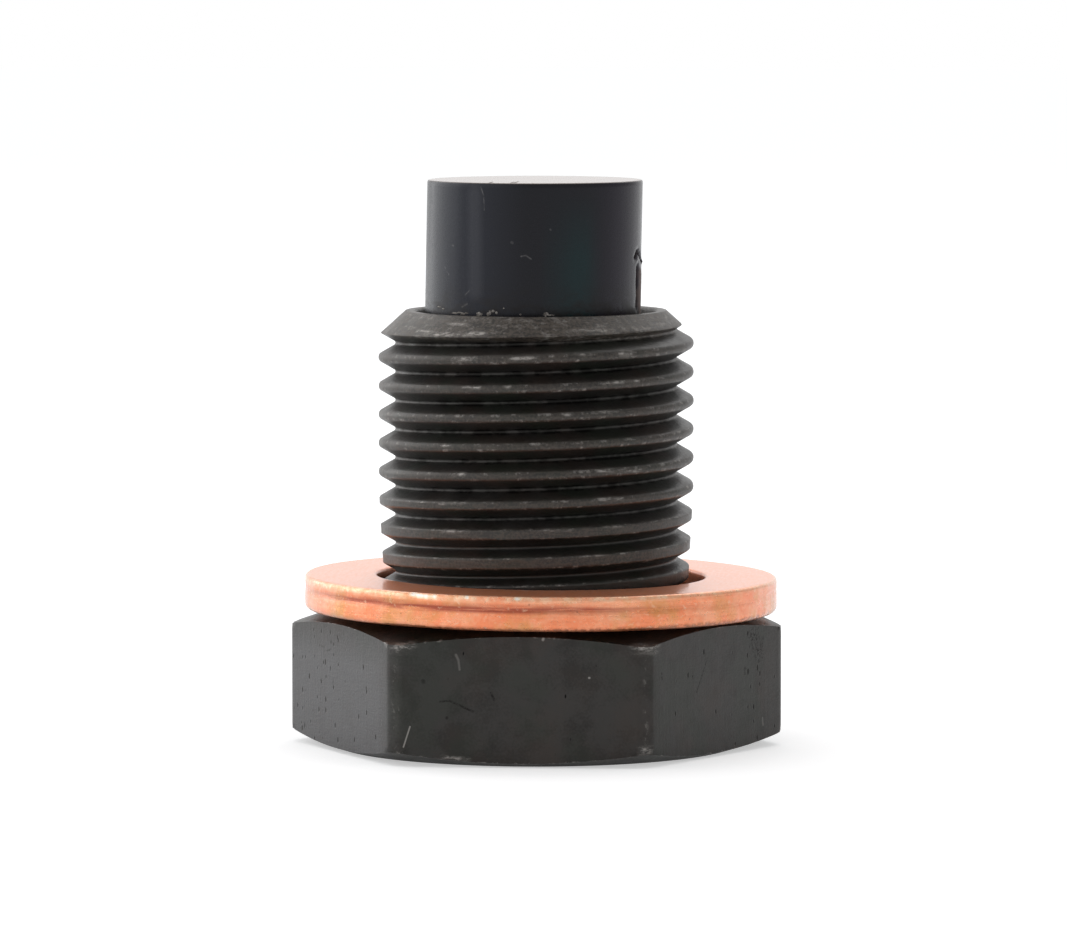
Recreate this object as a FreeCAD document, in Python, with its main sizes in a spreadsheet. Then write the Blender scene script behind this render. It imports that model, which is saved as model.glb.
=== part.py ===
"""Oil drain plug: a threaded steel plug with a hexagon head, a rod magnet and a copper sealing washer.

The plug stands on its head. The axis of the thread is +Z, the foot of the head is at z = 0, and one pair
of the hexagon's flats faces -Y and +Y. Lengths are in millimetres and angles in degrees.
"""
import FreeCAD
import Part

import os
import re

import Sketcher

# The driving sizes: name, value, and what it measures.
SIZES = (
    ("head_across_flats", 18.9, "hexagon bar for a 19 mm spanner"),
    ("head_height", 5.83, "foot to the face that the washer seals on"),
    ("corner_cut", 0.182, "taken off the hexagon's corners by turning"),
    ("foot_inset", 0.62, "flat of the foot, inside the hexagon's flats"),
    ("bearing_inset", 0.75, "flat under the washer, inside the hexagon's flats"),
    ("head_chamfer_angle", 17, "both head chamfers, from the flat faces"),
    ("shank_length", 13.15, "bearing face to the end of the shank"),
    ("crest_diameter", 13.78, "M14 thread over its flat crests"),
    ("pitch", 1.25, "fine metric pitch, right-handed"),
    ("flank_angle", 60, "between the two flanks of the groove"),
    ("crest_flat", 0.287, "flat along the top of the thread"),
    ("root_flat", 0.12, "flat at the bottom of the groove"),
    ("crest_fade_length", 5.4, "stretch next to the head where the crests grow lower"),
    ("crest_fade_drop", 0.24, "how much lower the last crest is"),
    ("relief_extra_depth", 0.06, "run-out relief, below the thread root"),
    ("tool_overlap", 0.05, "how far the cutting outlines stand out of the metal"),
    ("thread_start_angle", 200, "where the groove leaves the relief, about +Z from +X"),
    ("end_chamfer_angle", 42, "lead of the thread, from the end face"),
    ("end_ring_width", 0.385, "flat ring round the mouth of the bore"),
    ("shank_wall", 0.91, "bore to thread root"),
    ("bore_depth", 7.05, "flat-bottomed blind bore"),
    ("mouth_chamfer", 0.08, "broken edge at the mouth of the bore"),
    ("magnet_gap", 0.555, "all round the magnet, to the wall of the bore"),
    ("magnet_length", 12.7, "rod magnet"),
    ("magnet_bevel", 0.1, "broken rims of the magnet"),
    ("magnet_lean", 1.15, "side of the magnet from the plug's axis, towards +X at the top"),
    ("magnet_offset", 0.3, "foot of the magnet from the plug's axis, towards -X"),
    ("adhesive_film", 0.05, "under the magnet's foot"),
    ("adhesive_recess", 0.6, "resin below the end face"),
    ("washer_width", 3.165, "copper sealing washer, hole to rim"),
    ("washer_thickness", 1.5, "copper sealing washer"),
    ("washer_hole_gap", 0.285, "hole of the washer to the crests"),
    ("washer_rim_bevel", 0.2, "soft outer rims of the washer"),
    ("washer_hole_bevel", 0.1, "broken rims of its hole"),
    ("washer_tilt", 0.5, "loose washer, down towards +X"),
    ("washer_offset", 0.2, "loose washer, towards +X"),
)

# Sizes that follow from the driving ones: name, formula, and what it measures.
DERIVED = (
    ("flat_radius", "=head_across_flats / 2", "axis to the hexagon's flats"),
    ("corner_radius", "=flat_radius / cos(30) - corner_cut", "axis to the turned corners"),
    ("clear_radius", "=2 * flat_radius", "past every corner of the bar"),
    ("foot_radius", "=flat_radius - foot_inset", "axis to the edge of the foot"),
    ("bearing_radius", "=flat_radius - bearing_inset", "axis to the edge of the bearing face"),
    ("corner_rise", "=(corner_radius - foot_radius) * tan(head_chamfer_angle)",
     "foot to the lower end of a corner"),
    ("corner_drop", "=(corner_radius - bearing_radius) * tan(head_chamfer_angle)",
     "bearing face to the upper end of a corner"),
    ("plug_height", "=head_height + shank_length", "foot to the end of the shank"),
    ("thread_depth", "=(pitch - crest_flat - root_flat) / 2 / tan(flank_angle / 2)", "crest to root"),
    ("crest_radius", "=crest_diameter / 2", "axis to crest"),
    ("root_radius", "=crest_radius - thread_depth", "axis to root"),
    ("relief_radius", "=root_radius - relief_extra_depth", "axis to the floor of the relief"),
    ("last_crest_radius", "=crest_radius - crest_fade_drop", "axis to the crest next to the head"),
    ("tool_radius", "=crest_radius + tool_overlap", "outer end of the groove's outline"),
    ("tool_half_width", "=root_flat / 2 + (thread_depth + tool_overlap) * tan(flank_angle / 2)",
     "half the groove's outline at that end"),
    ("groove_start", "=head_height + tool_half_width + tool_overlap / 2",
     "middle of the groove at its start"),
    ("relief_width", "=groove_start + root_flat / 2 + tool_overlap - head_height", "floor of the relief"),
    ("relief_top", "=head_height + relief_width + (last_crest_radius - relief_radius) * tan(flank_angle / 2)",
     "where the relief ends and the crests begin"),
    ("bore_radius", "=root_radius - shank_wall", "wall of the bore"),
    ("bore_floor", "=plug_height - bore_depth", "height of the bore's floor"),
    ("end_radius", "=bore_radius + mouth_chamfer + end_ring_width", "axis to the edge of the end face"),
    ("end_chamfer_drop", "=(crest_radius - end_radius) * tan(end_chamfer_angle)", "length of the lead"),
    ("magnet_radius", "=bore_radius - magnet_gap", "rod magnet"),
    ("magnet_foot", "=bore_floor + adhesive_film", "height of the magnet's foot"),
    ("washer_hole_radius", "=crest_radius + washer_hole_gap", "axis of the washer to its hole"),
    ("washer_radius", "=washer_hole_radius + washer_width", "axis of the washer to its rim"),
)

NAMES = {entry[0] for entry in SIZES + DERIVED}
ORIGIN = (-1, 1)
UPRIGHT_TURN = FreeCAD.Rotation(FreeCAD.Vector(0, 1, 0), 1)


def make_sizes(doc):
    """Fills the sheet that every outline and feature reads."""
    sheet = doc.addObject("Spreadsheet::Sheet", "sizes")
    for row, (name, value, meaning) in enumerate(SIZES + DERIVED, start=1):
        cell = "B%d" % row
        sheet.set("A%d" % row, name)
        sheet.set(cell, str(value))
        sheet.setAlias(cell, name)
        sheet.set("C%d" % row, meaning)
    doc.recompute()
    return sheet


def sized(formula):
    """Turns the size names in a formula into references to the sheet."""
    return re.sub(r"\w+", lambda word: "<<sizes>>." + word[0] if word[0] in NAMES else word[0], formula)


def origin_plane(body, role):
    """Finds one of the body's own origin planes."""
    for feature in body.Origin.OriginFeatures:
        if feature.Role == role:
            return feature
    raise ValueError("no plane " + role)


def attached_sketch(body, name, role):
    """Starts a sketch on one of the body's own origin planes."""
    sketch = body.newObject("Sketcher::SketchObject", name)
    sketch.AttachmentSupport = [(origin_plane(body, role), "")]
    sketch.MapMode = "FlatFace"
    return sketch


def hold(sketch, kind, corner, formula):
    """Ties one coordinate of a line's start point to a formula, or to the axis if the formula is 0."""
    if formula == "0":
        axis = -2 if kind == "DistanceX" else -1
        sketch.addConstraint(Sketcher.Constraint("PointOnObject", corner, 1, axis))
        return
    value = float(sketch.evalExpression(sized(formula)))
    index = sketch.addConstraint(Sketcher.Constraint(kind, *ORIGIN, corner, 1, value))
    sketch.setExpression("Constraints[%d]" % index, sized(formula))


def draw_outline(sketch, corners):
    """Draws a closed outline of straight lines, each corner a pair of formulas: radius and height."""
    places = [
        FreeCAD.Vector(*(float(sketch.evalExpression(sized(formula))) for formula in corner), 0)
        for corner in corners
    ]
    count = len(places)
    for corner in range(count):
        sketch.addGeometry(Part.LineSegment(places[corner], places[(corner + 1) % count]), False)
    for corner in range(count):
        sketch.addConstraint(Sketcher.Constraint("Coincident", corner, 2, (corner + 1) % count, 1))
    for corner, (radius, height) in enumerate(corners):
        hold(sketch, "DistanceX", corner, radius)
        hold(sketch, "DistanceY", corner, height)


def draw_hexagon(sketch, inner_radius):
    """Draws a regular hexagon about the origin, two of its sides level."""
    radius = float(sketch.evalExpression(sized(inner_radius)))
    spoke = FreeCAD.Vector(radius * 2 / 3 ** 0.5, 0, 0)
    corners = []
    for step in range(6):
        corners.append(FreeCAD.Rotation(FreeCAD.Vector(0, 0, 1), 60 * step).multVec(spoke))
    for side in range(6):
        sketch.addGeometry(Part.LineSegment(corners[side], corners[(side + 1) % 6]), False)
    circle = sketch.addGeometry(Part.Circle(FreeCAD.Vector(), FreeCAD.Vector(0, 0, 1), radius), True)
    for side in range(6):
        sketch.addConstraint(Sketcher.Constraint("Coincident", side, 2, (side + 1) % 6, 1))
        sketch.addConstraint(Sketcher.Constraint("Tangent", side, circle))
    for side in range(4):
        sketch.addConstraint(Sketcher.Constraint("Equal", side, side + 1))
    sketch.addConstraint(Sketcher.Constraint("Coincident", circle, 3, *ORIGIN))
    sketch.addConstraint(Sketcher.Constraint("Horizontal", 1))
    size = sketch.addConstraint(Sketcher.Constraint("Radius", circle, radius))
    sketch.setExpression("Constraints[%d]" % size, sized(inner_radius))


def turn(body, kind, name, sketch):
    """Revolves an outline a full turn about the plug's axis, to add metal or to cut it."""
    feature = body.newObject(kind, name)
    feature.Profile = sketch
    feature.ReferenceAxis = (sketch, ["V_Axis"])
    feature.Angle = 360
    return feature


def rims(shape, radius_of, tolerance=1e-4):
    """Names the circular edges whose radius is the given one."""
    return [
        "Edge%d" % (index + 1)
        for index, edge in enumerate(shape.Edges)
        if isinstance(edge.Curve, Part.Circle) and abs(edge.Curve.Radius - radius_of) < tolerance
    ]


def bevel_rims(body, name, base, radius_of, size):
    """Breaks the circular edges of one radius."""
    bevel = body.newObject("PartDesign::Chamfer", name)
    bevel.Base = (base, rims(base.Shape, radius_of))
    bevel.setExpression("Size", sized(size))
    return bevel


def make_plug(doc):
    """Hexagon bar, turned to its outline, drilled from the end and threaded."""
    body = doc.addObject("PartDesign::Body", "plug_body")

    bar_section = attached_sketch(body, "bar_section", "XY_Plane")
    draw_hexagon(bar_section, "flat_radius")
    bar = body.newObject("PartDesign::Pad", "bar")
    bar.Profile = bar_section
    bar.setExpression("Length", sized("plug_height"))
    doc.recompute()

    turned_away = attached_sketch(body, "turned_away", "XZ_Plane")
    draw_outline(turned_away, (
        ("foot_radius", "0"),
        ("corner_radius", "corner_rise"),
        ("corner_radius", "head_height - corner_drop"),
        ("bearing_radius", "head_height"),
        ("relief_radius", "head_height"),
        ("relief_radius", "head_height + relief_width"),
        ("last_crest_radius", "relief_top"),
        ("crest_radius", "head_height + crest_fade_length"),
        ("crest_radius", "plug_height - end_chamfer_drop"),
        ("end_radius", "plug_height"),
        ("clear_radius", "plug_height"),
        ("clear_radius", "0"),
    ))
    doc.recompute()
    turn(body, "PartDesign::Groove", "turning", turned_away)
    doc.recompute()

    bore_section = attached_sketch(body, "bore_section", "XZ_Plane")
    draw_outline(bore_section, (
        ("0", "plug_height"),
        ("bore_radius + mouth_chamfer", "plug_height"),
        ("bore_radius", "plug_height - mouth_chamfer"),
        ("bore_radius", "bore_floor"),
        ("0", "bore_floor"),
    ))
    doc.recompute()
    turn(body, "PartDesign::Groove", "bore", bore_section)
    doc.recompute()

    groove_section = attached_sketch(body, "groove_section", "XZ_Plane")
    groove_section.AttachmentOffset = FreeCAD.Placement(FreeCAD.Vector(), UPRIGHT_TURN)
    groove_section.setExpression("AttachmentOffset.Rotation.Angle", sized("thread_start_angle"))
    draw_outline(groove_section, (
        ("root_radius", "groove_start - root_flat / 2"),
        ("tool_radius", "groove_start - tool_half_width"),
        ("tool_radius", "groove_start + tool_half_width"),
        ("root_radius", "groove_start + root_flat / 2"),
    ))
    doc.recompute()
    thread = body.newObject("PartDesign::SubtractiveHelix", "thread")
    thread.Profile = groove_section
    thread.ReferenceAxis = (groove_section, ["V_Axis"])
    thread.Mode = "pitch-height-angle"
    thread.setExpression("Pitch", sized("pitch"))
    thread.setExpression("Height", sized("plug_height + pitch - groove_start"))
    return body


def make_magnet(doc):
    """Rod magnet with level ends, its side a little off the upright."""
    body = doc.addObject("PartDesign::Body", "magnet")
    section = attached_sketch(body, "rod_section", "XY_Plane")
    radius = float(section.evalExpression(sized("magnet_radius")))
    circle = section.addGeometry(Part.Circle(FreeCAD.Vector(), FreeCAD.Vector(0, 0, 1), radius), False)
    section.addConstraint(Sketcher.Constraint("Coincident", circle, 3, *ORIGIN))
    size = section.addConstraint(Sketcher.Constraint("Radius", circle, radius))
    section.setExpression("Constraints[%d]" % size, sized("magnet_radius"))
    rod = body.newObject("PartDesign::Pad", "rod")
    rod.Profile = section
    rod.UseCustomVector = True
    rod.Direction = FreeCAD.Vector(0, 0, 1)
    rod.setExpression("Direction.x", sized("tan(magnet_lean)"))
    rod.AlongSketchNormal = True
    rod.setExpression("Length", sized("magnet_length"))
    doc.recompute()
    bevel_rims(body, "rod_rims", rod, radius, "magnet_bevel")
    body.setExpression("Placement.Base.x", sized("-magnet_offset"))
    body.setExpression("Placement.Base.z", sized("magnet_foot"))
    return body


def make_adhesive(doc, magnet):
    """Cured resin: the bore's room below the recess, less the magnet."""
    room = doc.addObject("Part::Cylinder", "resin_room")
    room.setExpression("Radius", sized("bore_radius"))
    room.setExpression("Height", sized("bore_depth - adhesive_recess"))
    room.setExpression("Placement.Base.z", sized("bore_floor"))
    resin = doc.addObject("Part::Cut", "magnet_adhesive")
    resin.Base = room
    resin.Tool = magnet
    return resin


def make_washer(doc):
    """Flat copper ring with soft rims, lying loose and a touch askew on the bearing face."""
    body = doc.addObject("PartDesign::Body", "sealing_washer")
    section = attached_sketch(body, "ring_section", "XZ_Plane")
    draw_outline(section, (
        ("washer_hole_radius", "0"),
        ("washer_radius", "0"),
        ("washer_radius", "washer_thickness"),
        ("washer_hole_radius", "washer_thickness"),
    ))
    doc.recompute()
    ring = turn(body, "PartDesign::Revolution", "ring", section)
    doc.recompute()
    outer = section.evalExpression(sized("washer_radius"))
    inner = section.evalExpression(sized("washer_hole_radius"))
    outer_rims = bevel_rims(body, "outer_rims", ring, float(outer), "washer_rim_bevel")
    doc.recompute()
    bevel_rims(body, "hole_rims", outer_rims, float(inner), "washer_hole_bevel")
    body.Placement.Rotation = UPRIGHT_TURN
    body.setExpression("Placement.Rotation.Angle", sized("washer_tilt"))
    reach = "(bearing_radius - washer_offset)"
    body.setExpression("Placement.Base.x", sized("bearing_radius - " + reach + " * cos(washer_tilt)"))
    body.setExpression("Placement.Base.z", sized("head_height + " + reach + " * sin(washer_tilt)"))
    return body


def check(doc, pieces):
    """Stops if a feature has failed or a piece isn't one valid solid."""
    for feature in doc.Objects:
        if "Invalid" in feature.State or "Error" in feature.State:
            raise RuntimeError(feature.Name + " failed: " + ", ".join(feature.State))
    for piece in pieces:
        if piece.Shape.isNull() or not piece.Shape.isValid() or len(piece.Shape.Solids) != 1:
            raise RuntimeError(piece.Label + " isn't one valid solid")


def main():
    """Builds the plug and writes each piece to its own file."""
    doc = FreeCAD.newDocument("oil_drain_plug")
    make_sizes(doc)
    plug = make_plug(doc)
    magnet = make_magnet(doc)
    washer = make_washer(doc)
    doc.recompute()
    adhesive = make_adhesive(doc, magnet)
    doc.recompute()
    pieces = (plug, washer, magnet, adhesive)
    check(doc, pieces)
    os.makedirs("parts", exist_ok=True)
    for piece in pieces:
        piece.Shape.exportStep("parts/" + piece.Label + ".step")
        box = piece.Shape.BoundBox
        print("%-16s %8.2f mm3  x %.2f..%.2f  y %.2f..%.2f  z %.2f..%.2f" % (
            piece.Label, piece.Shape.Volume, box.XMin, box.XMax, box.YMin, box.YMax, box.ZMin, box.ZMax))


main()
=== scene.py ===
# %% [markdown]
# # An oil drain plug
#
# The plug closes the drain hole of an engine's sump. It is a steel screw with a hexagon head, blackened
# against rust, with a copper washer that seals under the head and a rod magnet that catches filings.
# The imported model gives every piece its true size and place. This lesson gives the pieces the look of the
# real ones: worn thread crests, a dented head, a scuffed washer and a magnet set in dark resin.

import math

import bmesh
import bpy
from mathutils import Matrix
from mathutils import Vector
from mathutils import noise


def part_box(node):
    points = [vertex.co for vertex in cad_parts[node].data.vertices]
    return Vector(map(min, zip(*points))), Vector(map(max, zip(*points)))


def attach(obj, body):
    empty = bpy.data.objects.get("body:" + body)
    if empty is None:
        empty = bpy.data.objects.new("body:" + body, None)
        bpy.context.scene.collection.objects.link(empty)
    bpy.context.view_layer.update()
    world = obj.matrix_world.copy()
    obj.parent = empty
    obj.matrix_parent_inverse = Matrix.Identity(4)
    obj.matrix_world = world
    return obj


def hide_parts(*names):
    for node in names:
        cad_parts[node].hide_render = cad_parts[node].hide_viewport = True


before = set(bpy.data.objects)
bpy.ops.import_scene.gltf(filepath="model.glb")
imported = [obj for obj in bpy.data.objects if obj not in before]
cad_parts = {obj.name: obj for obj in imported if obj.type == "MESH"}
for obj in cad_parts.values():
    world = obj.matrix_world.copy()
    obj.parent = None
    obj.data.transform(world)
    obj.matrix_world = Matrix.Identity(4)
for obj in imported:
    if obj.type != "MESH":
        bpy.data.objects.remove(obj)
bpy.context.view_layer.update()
MM = 0.001
print("nodes:", ", ".join(sorted(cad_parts)))

# %% [markdown]
# ## The camera
#
# The plug was photographed from 30 cm away with a long lens, a little above the washer, and turned by a few
# degrees. A camera object needs a place, a turn and a lens. The picture's width sets the lens's angle here,
# because the sensor's width is fixed at 36 mm.

# %% Camera
CAMERA_DISTANCE = 297.76
CAMERA_HEIGHT = 35.32
CAMERA_AZIMUTH = math.radians(4.3)
CAMERA_PAN = 0.00039
CAMERA_DIP = 0.07794
FOCAL_LENGTH = 230.47

camera_data = bpy.data.cameras.new("camera")
camera_data.lens = FOCAL_LENGTH
camera_data.sensor_width = 36
camera_data.clip_start = 0.01
camera = bpy.data.objects.new("camera", camera_data)
camera.location = (
    CAMERA_DISTANCE * math.sin(CAMERA_AZIMUTH) * MM,
    -CAMERA_DISTANCE * math.cos(CAMERA_AZIMUTH) * MM,
    CAMERA_HEIGHT * MM,
)
camera.rotation_euler = (math.pi / 2 - CAMERA_DIP, 0, CAMERA_AZIMUTH + CAMERA_PAN)
bpy.context.scene.collection.objects.link(camera)
bpy.context.scene.camera = camera
bpy.context.scene.view_settings.view_transform = "Standard"
print("camera at", [round(value / MM, 1) for value in camera.location], "mm")

# %% [markdown]
# ## Building a material from nodes
#
# A procedural material is a graph of small nodes. Wiring each one by hand takes three lines, so one helper
# makes a node and sets its inputs: a number or a colour is typed into the socket, and the output of
# another node is linked to it. The next helpers are the few patterns that every finish here is made of.

# %% Node helpers
def add(tree, kind, inputs=None, **settings):
    """Makes a node, sets its properties, and fills or links its inputs."""
    node = tree.nodes.new("ShaderNode" + kind)
    for name, value in settings.items():
        setattr(node, name, value)
    for name, value in (inputs or {}).items():
        if isinstance(value, bpy.types.NodeSocket):
            tree.links.new(value, node.inputs[name])
        else:
            node.inputs[name].default_value = value
    return node


def maths(tree, operation, first, second=0.0, clamp=False):
    """One sum on one or two numbers."""
    return add(tree, "Math", {0: first, 1: second}, operation=operation, use_clamp=clamp).outputs[0]


def joined(tree, operation, first, *others):
    """The same sum on a row of numbers."""
    for other in others:
        first = maths(tree, operation, first, other)
    return first


def times(tree, *values):
    """Multiplies numbers."""
    return joined(tree, "MULTIPLY", *values)


def plus(tree, *values):
    """Adds numbers."""
    return joined(tree, "ADD", *values)


def most(tree, *values):
    """The largest of some numbers."""
    return joined(tree, "MAXIMUM", *values)


def mix(tree, amount, first, second):
    """Goes from one number to another."""
    return add(tree, "Mix", {0: amount, 2: first, 3: second}).outputs[0]


def spread(tree, value, low, high, to_low=0.0, to_high=1.0):
    """Stretches the range from low to high onto another range, and stops at its ends."""
    inputs = {"Value": value, "From Min": low, "From Max": high, "To Min": to_low, "To Max": to_high}
    return add(tree, "MapRange", inputs, clamp=True).outputs[0]


def blend(tree, amount, first, second):
    """Goes from one colour to another."""
    node = add(tree, "Mix", data_type="RGBA")
    for socket, value in ((node.inputs[0], amount), (node.inputs[6], first), (node.inputs[7], second)):
        if isinstance(value, bpy.types.NodeSocket):
            tree.links.new(value, socket)
        elif socket is node.inputs[0]:
            socket.default_value = value
        else:
            socket.default_value = (*value, 1)
    return node.outputs[2]


def millimetres(tree, scale=(1, 1, 1), offset=(0, 0, 0)):
    """The place on the object in millimetres, stretched where a pattern has a direction."""
    place = add(tree, "TexCoord").outputs["Object"]
    sizes = [value / MM for value in scale]
    return add(tree, "Mapping", {"Vector": place, "Scale": sizes, "Location": offset}).outputs[0]


def cloud(tree, place, scale, detail=3.0, roughness=0.5):
    """Soft random patches, about 1 / scale millimetres wide."""
    inputs = {"Vector": place, "Scale": scale, "Detail": detail, "Roughness": roughness}
    return add(tree, "TexNoise", inputs).outputs["Fac"]


def drawn_out(tree, scale, detail=3.0, roughness=0.5):
    """Random patches with a direction: each axis has its own scale."""
    return cloud(tree, millimetres(tree, scale), 1.0, detail, roughness)


def specks(tree, place, scale, size, share):
    """Scattered round spots: one in each cell that a random number picks."""
    cells = add(tree, "TexVoronoi", {"Vector": place, "Scale": scale})
    chance = add(tree, "SeparateColor", {0: cells.outputs["Color"]}).outputs[0]
    spot = spread(tree, cells.outputs["Distance"], size, size * 0.5)
    return times(tree, spot, spread(tree, chance, share, share - 0.05))


def vectors(tree, operation, first, second=(0, 0, 0), **more):
    """One sum on two vectors, with both of its results."""
    return add(tree, "VectorMath", {0: first, 1: second, **more}, operation=operation).outputs


def stroke(tree, place, start, end, width):
    """A scratch between two places in millimetres: 1 on its line, 0 beyond its width."""
    reach = Vector(end) - Vector(start)
    offset = vectors(tree, "SUBTRACT", place, start)[0]
    share = vectors(tree, "DOT_PRODUCT", offset, reach / reach.length_squared)["Value"]
    share = maths(tree, "ADD", share, clamp=True)
    along = vectors(tree, "SCALE", reach, Scale=share)[0]
    distance = vectors(tree, "DISTANCE", offset, along)["Value"]
    return spread(tree, distance, width, width * 0.3)


def strokes(tree, place, marks):
    """Several scratches at once, each a start, an end and a width."""
    return most(tree, *(stroke(tree, place, *mark) for mark in marks))


def layered(tree, base, *layers):
    """Lays colours over a base colour, each with its own strength."""
    for amount, colour in layers:
        base = blend(tree, amount, base, colour)
    return base


def bumpy(tree, height, strength, depth):
    """Turns a pattern into small bumps, with their depth in millimetres."""
    inputs = {"Height": height, "Strength": strength, "Distance": depth * MM}
    return add(tree, "Bump", inputs).outputs[0]


def attribute(tree, name):
    """A number that was stored on the mesh."""
    return add(tree, "Attribute", attribute_name=name).outputs["Fac"]


def new_material(name):
    """An empty material, with its tree and its surface node."""
    material = bpy.data.materials.new(name)
    material.use_nodes = True
    tree = material.node_tree
    return material, tree, tree.nodes["Principled BSDF"]


def wire(tree, surface, **links):
    """Links outputs to the sockets of the surface node."""
    for name, output in links.items():
        tree.links.new(output, surface.inputs[name.replace("_", " ")])


# %% [markdown]
# ## Light and floor
#
# Shiny dark metal shows what stands round it more than its own colour. The photo has a white room and no
# hard light. The world is therefore white where the camera looks at it, and a plain grey level where it
# lights the surfaces. A reflection sees a white backdrop and ceiling behind the plug, a bright wall at the
# left, and a dimmer room at the right and at the camera's side. The floor glows a little, so it stays
# white and still keeps the plug's shadow. Its glow in reflections is painted darker near the plug, a painted
# shadow which keeps the chamfer at the foot dark. One large soft lamp stands at the left and behind, and a
# second one above.

# %% World
WORLD_LIGHT = 0.62
ROOM_FRONT = 0.42
ROOM_LEFT = 1.12
NEAR_LEFT = 1.35
ROOM_RIGHT = 0.5
ROOM_BACK = 1.05

world = bpy.data.worlds.new("room")
world.use_nodes = True
room = world.node_tree
background = room.nodes["Background"]
rays = add(room, "LightPath").outputs
way = add(room, "SeparateXYZ", {0: add(room, "TexCoord").outputs["Generated"]}).outputs
left = spread(room, way["X"], -0.1, -0.9, ROOM_FRONT, ROOM_LEFT)
left = times(room, left, spread(room, way["Y"], 0.3, -0.4, 1, NEAR_LEFT))
right = spread(room, way["X"], 0.3, 0.9, ROOM_FRONT, ROOM_RIGHT)
behind = spread(room, way["Y"], 0.5, 0.98, ROOM_FRONT, ROOM_BACK)
ceiling = times(room, spread(room, way["Y"], 0, 0.6, 0, ROOM_BACK), spread(room, way["Z"], 0.25, 0.5))
level = mix(room, rays["Is Glossy Ray"], WORLD_LIGHT, most(room, left, right, behind, ceiling))
level = most(room, rays["Is Camera Ray"], rays["Is Transmission Ray"], level)
room.links.new(level, background.inputs["Strength"])
background.inputs["Color"].default_value = (1, 1, 1, 1)
bpy.context.scene.world = world

# %% Floor
FLOOR_SIZE = 3000
FLOOR_GLOW = 0.47
MIRRORED_GLOW = 0.32
SHADED_GLOW = 0.16
SHADE_START = 9
SHADE_END = 30

floor_paint, tree, surface = new_material("floor")
surface.inputs["Base Color"].default_value = (0.85, 0.86, 0.87, 1)
surface.inputs["Roughness"].default_value = 0.9
surface.inputs["Specular IOR Level"].default_value = 0
surface.inputs["Emission Color"].default_value = (1, 1, 1, 1)
rays = add(tree, "LightPath").outputs
seen = times(tree, most(tree, rays["Is Camera Ray"], rays["Is Transmission Ray"]), FLOOR_GLOW)
# Painted shadow: the glow that reflections see falls from MIRRORED_GLOW to SHADED_GLOW near the plug's foot.
from_plug = vectors(tree, "LENGTH", millimetres(tree))["Value"]
mirrored_glow_with_painted_shadow = spread(tree, from_plug, SHADE_START, SHADE_END, SHADED_GLOW, MIRRORED_GLOW)
wire(tree, surface, Emission_Strength=most(tree, seen, times(tree, rays["Is Glossy Ray"], mirrored_glow_with_painted_shadow)))

floor_mesh = bpy.data.meshes.new("floor")
bm = bmesh.new()
bmesh.ops.create_grid(bm, x_segments=1, y_segments=1, size=FLOOR_SIZE / 2 * MM)
bm.to_mesh(floor_mesh)
bm.free()
floor = bpy.data.objects.new("floor", floor_mesh)
floor_mesh.materials.append(floor_paint)
bpy.context.scene.collection.objects.link(floor)


# %% Lamps
def soft_lamp(name, place, size, power):
    """A square lamp, in millimetres and watts, turned towards the middle of the plug."""
    lamp_data = bpy.data.lights.new(name, "AREA")
    lamp_data.shape = "SQUARE"
    lamp_data.size = size * MM
    lamp_data.energy = power
    lamp = bpy.data.objects.new(name, lamp_data)
    lamp.location = Vector(place) * MM
    towards = Vector((0, 0, 12)) * MM - lamp.location
    lamp.rotation_euler = towards.to_track_quat("-Z", "Y").to_euler()
    bpy.context.scene.collection.objects.link(lamp)
    return lamp


lamps = [
    soft_lamp("key", (-340, 150, 110), 440, 0.62),
    soft_lamp("top", (0, 260, 380), 400, 0.4),
]
print("lamps:", [lamp.name for lamp in lamps])

# %% [markdown]
# ## Sizes of the real plug
#
# The lesson works in millimetres, and each mesh is scaled to metres when it is finished. The sizes below are
# those of an M14 x 1.25 plug with a head for a 19 mm spanner. Heights are measured from the foot.

# %% Sizes
SECTOR = math.radians(60)
HEAD_HEIGHT = 5.83
FLAT_RADIUS = 9.45
CORNER_RADIUS = 10.73
FOOT_RADIUS = 8.83
BEARING_RADIUS = 8.70
HEAD_CHAMFER = math.tan(math.radians(17))

PLUG_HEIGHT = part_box("plug_body")[1].z / MM
CREST_RADIUS = 6.89
ROOT_RADIUS = 6.16
RELIEF_RADIUS = 6.10
PITCH = 1.25
GROOVE_HEIGHT = 6.3653
GROOVE_ANGLE = 200
CREST_HALF = 0.1435
ROOT_HALF = 0.06

END_RADIUS = 5.715
LEAD = math.tan(math.radians(42))
BORE_RADIUS = 5.25
BORE_FLOOR = 11.93
MOUTH_CHAMFER = 0.08

# %% [markdown]
# ## Mesh helpers
#
# Nearly every piece of the plug was made on a lathe, so nearly every mesh starts as an outline beside the
# axis and is spun round it. Corners of the outline are rounded before the spin, as one bevel on a few
# points is cheaper than a bevel on a long edge.

# %% Mesh helpers
def outline(bm, places):
    """Draws a line through places, each a radius and a height."""
    corners = [bm.verts.new((radius, 0, height)) for radius, height in places]
    edges = [bm.edges.new(ends) for ends in zip(corners, corners[1:])]
    return corners, edges


def everything(bm):
    """All of a mesh, as the cutting operators want it."""
    return bm.verts[:] + bm.edges[:] + bm.faces[:]


def round_corners(bm, corners, size, segments):
    """Rounds some corners of an outline."""
    bmesh.ops.bevel(
        bm, geom=corners, offset=size, offset_type="OFFSET", segments=segments, profile=0.5,
        affect="VERTICES", material=-1)


def merge_near(bm, distance):
    """Merges points that nearly meet. They are sorted first, so that each run merges the same ones."""
    bm.verts.sort(key=lambda vert: vert.co.dot(Vector((1, 100, 10000))))
    bmesh.ops.remove_doubles(bm, verts=bm.verts, dist=distance)


def divide(bm, longest):
    """Cuts every edge of an outline into parts no longer than the given length."""
    for edge in list(bm.edges):
        cuts = math.ceil(edge.calc_length() / longest) - 1
        if cuts > 0:
            bmesh.ops.subdivide_edges(bm, edges=[edge], cuts=cuts)


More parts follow.
